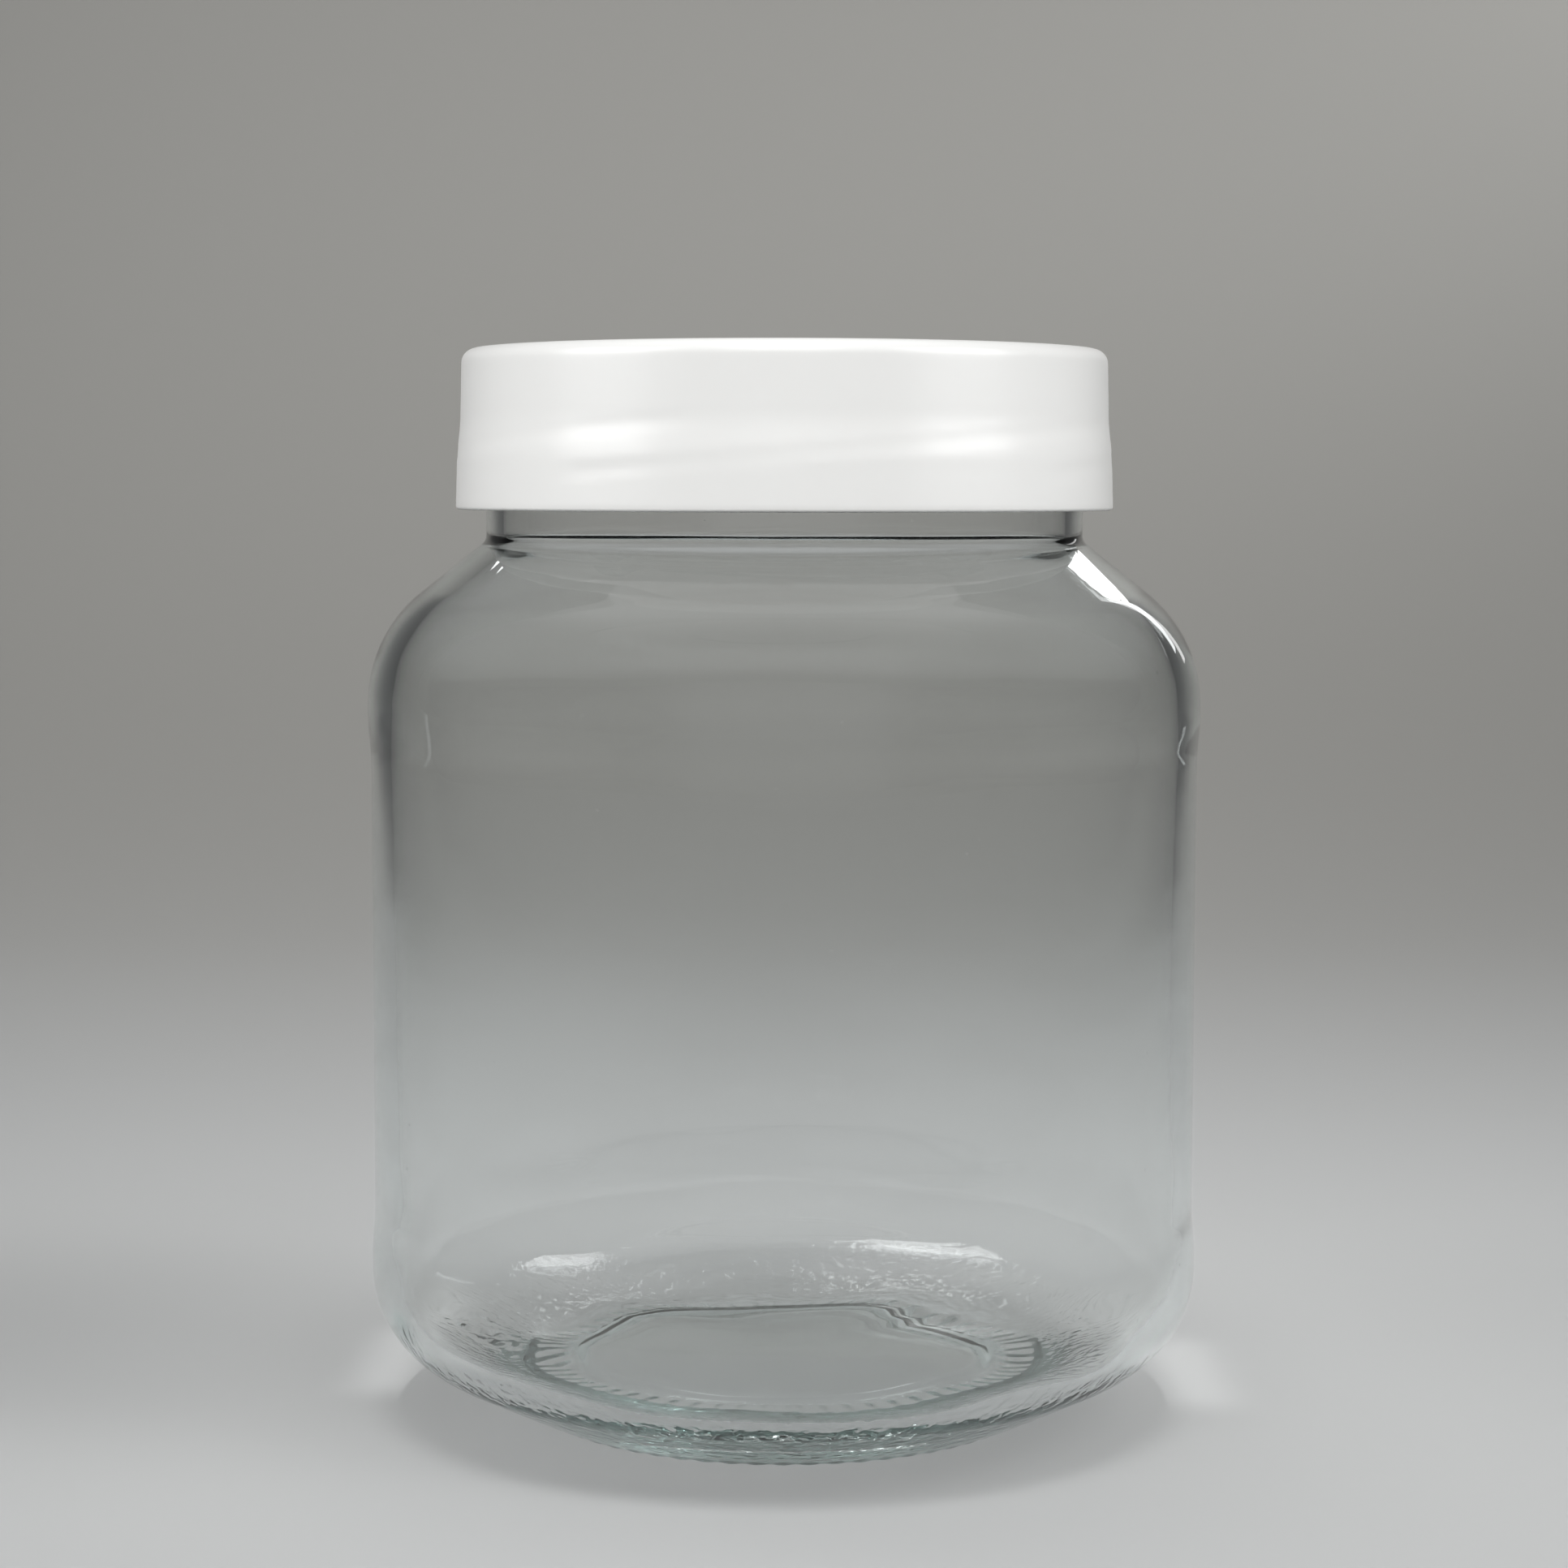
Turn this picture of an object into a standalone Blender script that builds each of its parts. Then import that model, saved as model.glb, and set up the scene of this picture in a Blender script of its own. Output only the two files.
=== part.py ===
"""Wide-mouth glass storage jar with a white plastic screw lid.

Three turned pieces: the blown glass jar, the moulded lid, and the foam liner disc that seals the rim.
Metres, +Z up. The origin lies on the table, on the axis of the jar.
"""

import math

import bpy

# Glass jar, outside: the body's widest circles are the shoulder and the heel, with the panel between them
BODY_DIAMETER = 0.1063
SHOULDER_LEVEL = 0.0907
SHOULDER_BAND = 0.0010
SHOULDER_ROUND = 0.0182
SHOULDER_SLOPE = math.radians(38.4)
PANEL_RECESS = 0.0004
PANEL_BLEND = 0.0046
HEEL_BAND = 0.0015
HEEL_ROUND = 0.0135
UNDERSIDE_REACH = 0.02035
UNDERSIDE_SLOPE = math.radians(27)
NECK_DIAMETER = 0.0760
NECK_FILLET = 0.0015
NECK_BEAD_HEIGHT = 0.0062
BEAD_REACH = 0.0008
BEAD_STEP_HEIGHT = 0.0012
FINISH_HEIGHT = 0.0200
LIP_ROUND = 0.0010

# Glass jar, foot: a flat bearing ring round a push-up
RING_WIDTH = 0.0040
RING_EDGE_ROUND = 0.0012
PUSH_UP_RAMP = 0.0042
PUSH_UP_EDGE_HEIGHT = 0.0014
PUSH_UP_HEIGHT = 0.0020

# Glass jar, inside
BODY_WALL = 0.0027
NECK_WALL = 0.0022
INNER_NECK_FILLET = 0.0030
FINISH_WALL = 0.0030
BORE_STEP_HEIGHT = 0.0035
FLOOR_SLOPE = math.radians(24)
FLOOR_DROP = 0.0028
FLOOR_CORNER_ROUND = 0.0150
FLOOR_DOME = 0.0010

# Lid
NECK_SHOWING = 0.0032
THREAD_ROOM = 0.0023
LID_TOP_PLATE = 0.0016
LID_SKIRT_WALL = 0.0015
LID_EDGE_ROUND = 0.0018
LID_LOWER_BAND = 0.0054
LID_FLARE_HEIGHT = 0.0068
LID_BAND_DRAFT = 0.00015
LID_INNER_CORNER = 0.0006
LID_LIP_ROUND = 0.0004
RETAINER_OVERLAP = 0.0004
RETAINER_HEIGHT = 0.0012
RETAINER_DROP = 0.0004

# Liner
LINER_THICKNESS = 0.0012
LINER_SIDE_ROOM = 0.0009
LINER_EDGE_ROUND = 0.0002

# Clearance between pieces that touch, and the least distance between two points of a profile
SEAT_GAP = 0.0003
SAME_POINT = 0.00001

# Faces round the axis, and points along the curves
STEPS_ROUND = 64
ARC_STEPS = 8
BLEND_STEPS = 4
CORNER_STEPS = 2


def arc(centre_r, centre_z, radius, start, end, steps):
    """Points along an arc of the profile; angles in degrees, 0 pointing outwards and 90 up."""
    points = []
    for i in range(steps + 1):
        angle = math.radians(start + (end - start) * i / steps)
        points.append((centre_r + radius * math.cos(angle), centre_z + radius * math.sin(angle)))
    return points


def eased(share):
    """A share of the way that starts and ends gently."""
    return (1 - math.cos(math.pi * share)) / 2


def soft_step(start, end, steps):
    """Points of a smooth S between two radii that leaves and arrives upright."""
    points = []
    for i in range(steps + 1):
        share = i / steps
        radius = start[0] + (end[0] - start[0]) * eased(share)
        points.append((radius, start[1] + (end[1] - start[1]) * share))
    return points


def soft_ramp(start, end, steps):
    """Points of a smooth S between two heights that leaves and arrives level."""
    points = []
    for i in range(steps + 1):
        share = i / steps
        height = start[1] + (end[1] - start[1]) * eased(share)
        points.append((start[0] + (end[0] - start[0]) * share, height))
    return points


def dome(edge, rise, steps):
    """Points of a shallow parabola from the edge of a disc in to the axis."""
    points = []
    for i in range(steps + 1):
        share = 1 - i / steps
        points.append((edge[0] * share, edge[1] + rise * (1 - share ** 2)))
    return points


def without_repeats(points):
    """The profile with each point once, where one curve ends on the start of the next."""
    kept = [points[0]]
    for point in points[1:]:
        if math.dist(point, kept[-1]) > SAME_POINT:
            kept.append(point)
    return kept


def fillet_level(neck_radius, body_radius, shoulder_round, fillet):
    """Height of the centre of the fillet under the neck, above the shoulder's arc and its straight slope."""
    turn = math.pi / 2 - SHOULDER_SLOPE
    slope_run = body_radius - neck_radius - (shoulder_round + fillet) * (1 - math.cos(turn))
    return SHOULDER_LEVEL + (shoulder_round + fillet) * math.sin(turn) + slope_run * math.tan(SHOULDER_SLOPE)


def shoulder(neck_radius, body_radius, shoulder_round, fillet):
    """Profile of the shoulder: the fillet under the neck, a straight slope, and the arc to the widest circle."""
    turn = 90 - math.degrees(SHOULDER_SLOPE)
    level = fillet_level(neck_radius, body_radius, shoulder_round, fillet)
    points = arc(neck_radius + fillet, level, fillet, 180, 180 + turn, BLEND_STEPS)
    return points + arc(body_radius - shoulder_round, SHOULDER_LEVEL, shoulder_round, turn, 0, ARC_STEPS)


def radii():
    """Outer radii of the glass: body, neck bead and threaded finish."""
    neck = NECK_DIAMETER / 2
    return BODY_DIAMETER / 2, neck, neck - BEAD_REACH


def neck_level():
    """Height at which the upright neck begins, above the shoulder."""
    body, neck, _ = radii()
    return fillet_level(neck, body, SHOULDER_ROUND, NECK_FILLET)


def rim_level():
    return neck_level() + FINISH_HEIGHT


def heel_level():
    """Height of the heel's widest circle: the heel's arc runs tangent into the sloped underside."""
    slope_run = UNDERSIDE_REACH - HEEL_ROUND * (1 - math.sin(UNDERSIDE_SLOPE))
    return slope_run * math.tan(UNDERSIDE_SLOPE) + HEEL_ROUND * math.cos(UNDERSIDE_SLOPE)


def jar_foot(body):
    """Outer profile of the foot, from the heel in to the middle of the push-up."""
    turn = math.degrees(UNDERSIDE_SLOPE) - 90
    points = arc(body - HEEL_ROUND, heel_level(), HEEL_ROUND, 0, turn, ARC_STEPS)
    ring_outer = body - UNDERSIDE_REACH
    ring_edge = ring_outer - RING_EDGE_ROUND * math.tan(UNDERSIDE_SLOPE / 2)
    points += arc(ring_edge, RING_EDGE_ROUND, RING_EDGE_ROUND, turn, -90, CORNER_STEPS)
    ring_inner = ring_outer - RING_WIDTH
    push_up_edge = (ring_inner - PUSH_UP_RAMP, PUSH_UP_EDGE_HEIGHT)
    points += soft_ramp((ring_inner, 0), push_up_edge, BLEND_STEPS)
    return points + dome(push_up_edge, PUSH_UP_HEIGHT - PUSH_UP_EDGE_HEIGHT, BLEND_STEPS)


def jar_outside():
    """Outer profile of the glass, from the rim down to the middle of the push-up."""
    body, neck, finish = radii()
    rim = rim_level()
    points = arc(finish - LIP_ROUND, rim - LIP_ROUND, LIP_ROUND, 90, 0, CORNER_STEPS)
    bead_top = neck_level() + NECK_BEAD_HEIGHT
    points += soft_step((finish, bead_top), (neck, bead_top - BEAD_STEP_HEIGHT), CORNER_STEPS)

    points += shoulder(neck, body, SHOULDER_ROUND, NECK_FILLET)

    panel = body - PANEL_RECESS
    shoulder_foot = SHOULDER_LEVEL - SHOULDER_BAND
    heel_top = heel_level() + HEEL_BAND
    points += soft_step((body, shoulder_foot), (panel, shoulder_foot - PANEL_BLEND), BLEND_STEPS)
    points += soft_step((panel, heel_top + PANEL_BLEND), (body, heel_top), BLEND_STEPS)
    return points + jar_foot(body)


def jar_inside():
    """Inner profile of the glass, from the rim down to the middle of the floor."""
    body, neck, finish = radii()
    bore = finish - FINISH_WALL
    rim = rim_level()
    points = arc(bore + LIP_ROUND, rim - LIP_ROUND, LIP_ROUND, 90, 180, CORNER_STEPS)

    inner_neck = neck - NECK_WALL
    inner_body = body - PANEL_RECESS - BODY_WALL
    bore_foot = neck_level() + NECK_BEAD_HEIGHT + BEAD_STEP_HEIGHT
    points += soft_step((bore, bore_foot), (inner_neck, bore_foot - BORE_STEP_HEIGHT), BLEND_STEPS)
    points += shoulder(inner_neck, inner_body, SHOULDER_ROUND - NECK_WALL, INNER_NECK_FILLET)

    heel_top = heel_level() + HEEL_BAND
    inner_heel = HEEL_ROUND - BODY_WALL
    points += soft_step((inner_body, heel_top + PANEL_BLEND), (body - BODY_WALL, heel_top), BLEND_STEPS)
    turn = math.degrees(FLOOR_SLOPE) - 90
    points += arc(body - HEEL_ROUND, heel_level(), inner_heel, 0, turn, ARC_STEPS)

    slope_r, slope_z = points[-1]
    floor_z = slope_z - FLOOR_DROP
    corner_r = slope_r - FLOOR_DROP / math.tan(FLOOR_SLOPE) - FLOOR_CORNER_ROUND * math.tan(FLOOR_SLOPE / 2)
    corner_z = floor_z + FLOOR_CORNER_ROUND
    points += arc(corner_r, corner_z, FLOOR_CORNER_ROUND, turn, -90, CORNER_STEPS)
    return points + dome((corner_r, floor_z), FLOOR_DOME, CORNER_STEPS)


def jar_profile():
    """Closed profile of the glass: up the inside from the floor, over the rim and down the outside."""
    return without_repeats(list(reversed(jar_inside())) + jar_outside())


def lid_levels():
    """Heights of the lid's foot, its inner ceiling and its top, stacked on the neck and the rim."""
    ceiling = rim_level() + SEAT_GAP + LINER_THICKNESS + SEAT_GAP
    return neck_level() + NECK_SHOWING, ceiling, ceiling + LID_TOP_PLATE


def lid_bores():
    """Inner radii of the lid at its mouth and at its ceiling, clear of the neck bead and the finish."""
    _, neck, finish = radii()
    return neck + THREAD_ROOM, finish + THREAD_ROOM


def lid_outside():
    """Outer profile of the lid: round edge, upper band, soft flare and lower band."""
    foot, _, top = lid_levels()
    mouth, bore = lid_bores()
    crown = bore + LID_SKIRT_WALL
    skirt = mouth + LID_SKIRT_WALL
    flare_foot = (skirt - LID_BAND_DRAFT, foot + LID_LOWER_BAND)
    flare_top = (crown + LID_BAND_DRAFT, foot + LID_LOWER_BAND + LID_FLARE_HEIGHT)
    edge = LID_EDGE_ROUND
    lip = LID_LIP_ROUND
    points = [(0, top)]
    points += arc(crown - edge, top - edge, edge, 90, 0, BLEND_STEPS)
    points += soft_step(flare_top, flare_foot, BLEND_STEPS)
    return points + arc(skirt - lip, foot + lip, lip, 0, -90, CORNER_STEPS)


def liner_radius():
    return lid_bores()[1] - LINER_SIDE_ROOM


def retaining_bead(wall_radius):
    """Half-round bead inside the skirt, read upwards, that the liner snaps over."""
    reach = wall_radius - (liner_radius() - RETAINER_OVERLAP)
    foot = rim_level() - RETAINER_DROP - RETAINER_HEIGHT / 2
    points = []
    for i in range(BLEND_STEPS + 1):
        share = i / BLEND_STEPS
        inward = reach * math.sin(math.pi * share)
        points.append((wall_radius - inward, foot + RETAINER_HEIGHT * share))
    return points


def lid_inside():
    """Inner profile of the lid, from the lip of the skirt up to the middle of the ceiling."""
    foot, ceiling, _ = lid_levels()
    mouth, bore = lid_bores()
    lip = LID_LIP_ROUND
    corner = LID_INNER_CORNER
    points = arc(mouth + lip, foot + lip, lip, -90, -180, CORNER_STEPS)
    points += retaining_bead(bore)
    points += arc(bore - corner, ceiling - corner, corner, 0, 90, CORNER_STEPS)
    return points + [(0, ceiling)]


def lid_profile():
    """Closed profile of the lid: down the outside, round the lip and up the inside."""
    return without_repeats(lid_outside() + lid_inside())


def liner_profile():
    """Closed profile of the liner disc, which lies between the glass rim and the lid's ceiling."""
    bottom = rim_level() + SEAT_GAP
    top = bottom + LINER_THICKNESS
    edge = LINER_EDGE_ROUND
    middle = liner_radius() - edge
    points = [(0, top)]
    points += arc(middle, top - edge, edge, 90, 0, CORNER_STEPS)
    points += arc(middle, bottom + edge, edge, 0, -90, CORNER_STEPS)
    return points + [(0, bottom)]


def principled(name, colour, roughness, transmission=0.0):
    """A Principled material with the piece's own colour and finish."""
    material = bpy.data.materials.new(name)
    material.use_nodes = True
    shader = material.node_tree.nodes["Principled BSDF"]
    shader.inputs["Base Color"].default_value = (*colour, 1)
    shader.inputs["Roughness"].default_value = roughness
    shader.inputs["Metallic"].default_value = 0
    shader.inputs["Transmission Weight"].default_value = transmission
    return material


def turned(name, profile, material, parent, collection):
    """A piece of the given profile, screwed once round the jar's axis."""
    base = parent.location.z
    edges = [(i, i + 1) for i in range(len(profile) - 1)]
    mesh = bpy.data.meshes.new(name)
    mesh.from_pydata([(radius, 0, height - base) for radius, height in profile], edges, [])
    mesh.materials.append(material)
    piece = bpy.data.objects.new(name, mesh)
    piece.parent = parent
    collection.objects.link(piece)

    screw = piece.modifiers.new("turn", "SCREW")
    screw.axis = "Z"
    screw.angle = 2 * math.pi
    screw.steps = STEPS_ROUND
    screw.render_steps = STEPS_ROUND
    screw.use_merge_vertices = True
    screw.merge_threshold = SAME_POINT
    screw.use_smooth_shade = True


def carrier(name, height, collection):
    """An empty on the jar's axis that carries one piece."""
    empty = bpy.data.objects.new(name, None)
    empty.location = (0, 0, height)
    collection.objects.link(empty)
    return empty


def clear_scene():
    for old in list(bpy.data.objects):
        bpy.data.objects.remove(old, do_unlink=True)


def build():
    clear_scene()
    collection = bpy.data.collections.new("glass_storage_jar")
    bpy.context.scene.collection.children.link(collection)

    clear_glass = principled("clear_glass", (0.93, 0.97, 0.96), 0.02, transmission=1.0)
    liner_foam = principled("liner_foam", (0.88, 0.88, 0.86), 0.75)
    white_plastic = principled("white_plastic", (0.86, 0.86, 0.85), 0.28)

    stand = carrier("jar_stand", 0, collection)
    lift = carrier("lid_lift", rim_level(), collection)
    turn = carrier("lid_turn", lid_levels()[0], collection)
    turned("glass_jar", jar_profile(), clear_glass, stand, collection)
    turned("lid_liner", liner_profile(), liner_foam, lift, collection)
    turned("screw_lid", lid_profile(), white_plastic, turn, collection)


build()
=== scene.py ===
"""The looks of the glass storage jar: clear blown glass, a white moulded screw lid and its foam liner.

Metres, +Z up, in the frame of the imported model. The jar stands on the floor with its axis on Z.
"""

import math

import bmesh
import bpy
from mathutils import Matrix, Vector, noise


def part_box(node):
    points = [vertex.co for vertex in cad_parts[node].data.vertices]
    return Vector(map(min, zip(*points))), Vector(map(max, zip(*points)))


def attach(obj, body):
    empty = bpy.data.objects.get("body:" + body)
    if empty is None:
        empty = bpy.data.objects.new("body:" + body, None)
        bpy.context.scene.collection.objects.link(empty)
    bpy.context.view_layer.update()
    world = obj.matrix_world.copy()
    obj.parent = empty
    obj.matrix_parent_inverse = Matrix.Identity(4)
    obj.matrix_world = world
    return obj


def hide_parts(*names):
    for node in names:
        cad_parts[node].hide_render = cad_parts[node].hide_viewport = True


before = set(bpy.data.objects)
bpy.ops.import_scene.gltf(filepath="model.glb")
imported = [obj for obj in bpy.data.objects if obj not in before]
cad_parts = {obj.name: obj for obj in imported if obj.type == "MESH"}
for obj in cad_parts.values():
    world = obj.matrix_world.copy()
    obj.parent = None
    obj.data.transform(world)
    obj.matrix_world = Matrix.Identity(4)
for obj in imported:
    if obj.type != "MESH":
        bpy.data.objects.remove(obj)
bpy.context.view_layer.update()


# The jar. One piece of clear flint glass, pressed at the threaded finish and blown below it in a two-part
# mould. The mould leaves two upright seams, a bead under the thread and a knurled ring that it stands on,
# and the blown inside is smooth but never quite even.
MM = 0.001
BODY_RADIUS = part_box("glass_jar")[1].x
RIM_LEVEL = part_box("glass_jar")[1].z
SHOULDER_LEVEL = 90.7 * MM
SHOULDER_BAND = 1.0 * MM
SHOULDER_ROUND = 18.2 * MM
SHOULDER_SLOPE = math.radians(38.4)
PANEL_RECESS = 0.4 * MM
PANEL_BLEND = 6.5 * MM
HEEL_BAND = 1.5 * MM
HEEL_ROUND = 13.5 * MM
UNDERSIDE_REACH = 20.35 * MM
UNDERSIDE_SLOPE = math.radians(27)
NECK_RADIUS = 38.0 * MM
NECK_FILLET = 1.5 * MM
NECK_LEVEL = RIM_LEVEL - 20.0 * MM
BEAD_TOP = NECK_LEVEL + 6.2 * MM
BEAD_STEP = 1.2 * MM
FINISH_RADIUS = 37.2 * MM
LIP_ROUND = 1.0 * MM
RING_WIDTH = 4.0 * MM
RING_EDGE_ROUND = 1.2 * MM
PUSH_UP_RAMP = 4.2 * MM
PUSH_UP_EDGE_HEIGHT = 1.4 * MM
PUSH_UP_HEIGHT = 2.0 * MM
BODY_WALL = 2.7 * MM
NECK_WALL = 2.2 * MM
INNER_NECK_FILLET = 3.0 * MM
FINISH_WALL = 3.0 * MM
BORE_STEP_HEIGHT = 3.5 * MM
FLOOR_SLOPE = math.radians(24)
FLOOR_DROP = 2.8 * MM
FLOOR_CORNER_ROUND = 15.0 * MM
FLOOR_DOME = 1.0 * MM

# How far apart the points of the profiles lie, closest where the glass turns sharply.
RIM_SPACING = 0.4 * MM
THREAD_SPACING = 0.42 * MM
BORE_SPACING = 3.0 * MM
NECK_SPACING = 0.5 * MM
FILLET_SPACING = 0.2 * MM
SLOPE_SPACING = 0.6 * MM
SHOULDER_SPACING = 0.8 * MM
PANEL_SPACING = 3.5 * MM
INNER_WALL_SPACING = 3.2 * MM
HEEL_SPACING = 1.0 * MM
FOOT_SPACING = 0.3 * MM
RING_SPACING = 0.4 * MM
FLOOR_SLOPE_SPACING = 1.5 * MM
FLOOR_CORNER_SPACING = 1.2 * MM
MERGE_DISTANCE = 0.005 * MM
HAIR = 0.01 * MM

SEAM = math.radians(-90)
SEAM_HEIGHT = 0.035 * MM
NECK_MARK = math.radians(-96.75)
NECK_MARK_HEIGHT = 0.07 * MM
NECK_MARK_FOOT = NECK_LEVEL - 0.7 * MM

SWELL_HEIGHT = 0.16 * MM
SWELL_LENGTH = 26 * MM
SWELL_FLATNESS = 0.8
SWELL_AT_ENDS = 0.25
STREAK_HEIGHT = 0.14 * MM
STREAK_LENGTH = 13 * MM
STREAK_FLATNESS = 3.2
STREAK_SHIFT = Vector((7, 3, 5))
STREAK_ELSEWHERE = 0.1
# The level where each band starts, the height over which it grows, and the same for its fading.
SWELL_BAND = (9 * MM, 6 * MM, 84 * MM, 14 * MM)
STREAK_BAND = (9 * MM, 4 * MM, 22 * MM, 20 * MM)
FLOOR_MARGIN = 10 * MM

BARS = 64
BAR_COLUMNS = 5
BAR_DEPTH = 0.24 * MM
BAR_ROUNDNESS = 0.7
BAR_REACH = 1.6
BAR_OVERRUN = 1.5 * MM

THREAD_STARTS = 4
THREAD_LEAD = 20.0 * MM
THREAD_HALF_WIDTH = 1.15 * MM
THREAD_FLANK = 0.65 * MM
THREAD_FADE = math.radians(9)
THREAD_SIGHT = math.radians(-77)
JAR_THREAD_AT_SIGHT = 125.4 * MM
JAR_THREAD_HEIGHT = 1.65 * MM
JAR_THREAD_FOOT = BEAD_TOP + 3.2 * MM
JAR_THREAD_SPAN = math.radians(142)


def arc(centre_r, centre_z, radius, start, end, spacing):
    """Points along an arc of a profile; angles in degrees, 0 pointing outwards and 90 up."""
    steps = max(2, round(abs(math.radians(end - start)) * radius / spacing))
    points = []
    for i in range(steps + 1):
        angle = math.radians(start + (end - start) * i / steps)
        points.append((centre_r + radius * math.cos(angle), centre_z + radius * math.sin(angle)))
    return points


def line(start, end, spacing):
    """Points along a straight stretch of a profile."""
    steps = max(1, round(math.dist(start, end) / spacing))
    return [tuple(a + (b - a) * i / steps for a, b in zip(start, end)) for i in range(steps + 1)]


def eased(share):
    """A share of the way from 0 to 1 that starts and ends gently."""
    share = min(max(share, 0), 1)
    return (1 - math.cos(math.pi * share)) / 2


def soft_step(start, end, steps):
    """Points of a smooth S between two radii that leaves and arrives upright."""
    (start_r, start_z), (end_r, end_z) = start, end
    shares = [i / steps for i in range(steps + 1)]
    return [(start_r + (end_r - start_r) * eased(s), start_z + (end_z - start_z) * s) for s in shares]


def soft_ramp(start, end, steps):
    """Points of a smooth S between two heights that leaves and arrives level."""
    (start_r, start_z), (end_r, end_z) = start, end
    shares = [i / steps for i in range(steps + 1)]
    return [(start_r + (end_r - start_r) * s, start_z + (end_z - start_z) * eased(s)) for s in shares]


def dome(edge, rise, steps):
    """Points of a shallow parabola from the edge of a disc in to the axis."""
    shares = [1 - i / steps for i in range(steps + 1)]
    return [(edge[0] * s, edge[1] + rise * (1 - s * s)) for s in shares]


def shoulder_line(neck, top, body, shoulder, fillet):
    """The neck from its top down, its fillet, the shoulder's slope and its arc to the widest circle."""
    turn = math.pi / 2 - SHOULDER_SLOPE
    slope_run = body - neck - (shoulder + fillet) * (1 - math.cos(turn))
    level = SHOULDER_LEVEL + (shoulder + fillet) * math.sin(turn) + slope_run * math.tan(SHOULDER_SLOPE)
    under_neck = arc(neck + fillet, level, fillet, 180, 180 + math.degrees(turn), FILLET_SPACING)
    round_part = arc(body - shoulder, SHOULDER_LEVEL, shoulder, math.degrees(turn), 0, SHOULDER_SPACING)
    upright = line((neck, top), under_neck[0], NECK_SPACING)
    slope = line(under_neck[-1], round_part[0], SLOPE_SPACING)
    return upright + under_neck + slope + round_part


def heel_level():
    """Height of the heel's widest circle: the heel's arc runs tangent into the sloped underside."""
    slope_run = UNDERSIDE_REACH - HEEL_ROUND * (1 - math.sin(UNDERSIDE_SLOPE))
    return slope_run * math.tan(UNDERSIDE_SLOPE) + HEEL_ROUND * math.cos(UNDERSIDE_SLOPE)


def jar_outside():
    """Outer profile of the glass, from the rim down to the middle of the push-up."""
    points = arc(FINISH_RADIUS - LIP_ROUND, RIM_LEVEL - LIP_ROUND, LIP_ROUND, 90, 0, RIM_SPACING)
    points += line(points[-1], (FINISH_RADIUS, BEAD_TOP), THREAD_SPACING)
    points += soft_step(points[-1], (NECK_RADIUS, BEAD_TOP - BEAD_STEP), steps=4)
    points += shoulder_line(NECK_RADIUS, BEAD_TOP - BEAD_STEP, BODY_RADIUS, SHOULDER_ROUND, NECK_FILLET)

    panel = BODY_RADIUS - PANEL_RECESS
    heel_top = heel_level() + HEEL_BAND
    shoulder_foot = SHOULDER_LEVEL - SHOULDER_BAND
    points += soft_step((BODY_RADIUS, shoulder_foot), (panel, shoulder_foot - PANEL_BLEND), steps=5)
    points += line(points[-1], (panel, heel_top + PANEL_BLEND), PANEL_SPACING)
    points += soft_step(points[-1], (BODY_RADIUS, heel_top), steps=5)

    turn = math.degrees(UNDERSIDE_SLOPE) - 90
    points += arc(BODY_RADIUS - HEEL_ROUND, heel_level(), HEEL_ROUND, 0, turn, HEEL_SPACING)
    ring_outer = BODY_RADIUS - UNDERSIDE_REACH
    ring_edge = ring_outer - RING_EDGE_ROUND * math.tan(UNDERSIDE_SLOPE / 2)
    foot = arc(ring_edge, RING_EDGE_ROUND, RING_EDGE_ROUND, turn, -90, FOOT_SPACING)
    points += line(points[-1], foot[0], HEEL_SPACING) + foot
    ring_inner = ring_outer - RING_WIDTH
    points += line(points[-1], (ring_inner, 0), RING_SPACING)
    points += soft_ramp(points[-1], (ring_inner - PUSH_UP_RAMP, PUSH_UP_EDGE_HEIGHT), steps=8)
    return points + dome(points[-1], PUSH_UP_HEIGHT - PUSH_UP_EDGE_HEIGHT, steps=10)


def jar_inside():
    """Inner profile of the glass, from the rim down to the middle of the floor."""
    bore = FINISH_RADIUS - FINISH_WALL
    inner_neck = NECK_RADIUS - NECK_WALL
    inner_body = BODY_RADIUS - PANEL_RECESS - BODY_WALL
    points = arc(bore + LIP_ROUND, RIM_LEVEL - LIP_ROUND, LIP_ROUND, 90, 180, RIM_SPACING)
    bore_foot = BEAD_TOP + BEAD_STEP
    points += line(points[-1], (bore, bore_foot), BORE_SPACING)
    step_foot = bore_foot - BORE_STEP_HEIGHT
    points += soft_step(points[-1], (inner_neck, step_foot), steps=6)
    inner_round = SHOULDER_ROUND - NECK_WALL
    points += shoulder_line(inner_neck, step_foot, inner_body, inner_round, INNER_NECK_FILLET)

    heel_top = heel_level() + HEEL_BAND
    points += line(points[-1], (inner_body, heel_top + PANEL_BLEND), INNER_WALL_SPACING)
    points += soft_step(points[-1], (BODY_RADIUS - BODY_WALL, heel_top), steps=5)
    turn = math.degrees(FLOOR_SLOPE) - 90
    inner_heel = HEEL_ROUND - BODY_WALL
    points += arc(BODY_RADIUS - HEEL_ROUND, heel_level(), inner_heel, 0, turn, HEEL_SPACING)
    slope_r, slope_z = points[-1]
    floor_z = slope_z - FLOOR_DROP
    corner_round = FLOOR_CORNER_ROUND
    corner_r = slope_r - FLOOR_DROP / math.tan(FLOOR_SLOPE) - corner_round * math.tan(FLOOR_SLOPE / 2)
    corner_z = floor_z + corner_round
    corner = arc(corner_r, corner_z, corner_round, turn, -90, FLOOR_CORNER_SPACING)
    points += line(points[-1], corner[0], FLOOR_SLOPE_SPACING) + corner
    return points + dome(points[-1], FLOOR_DOME, steps=14)


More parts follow.
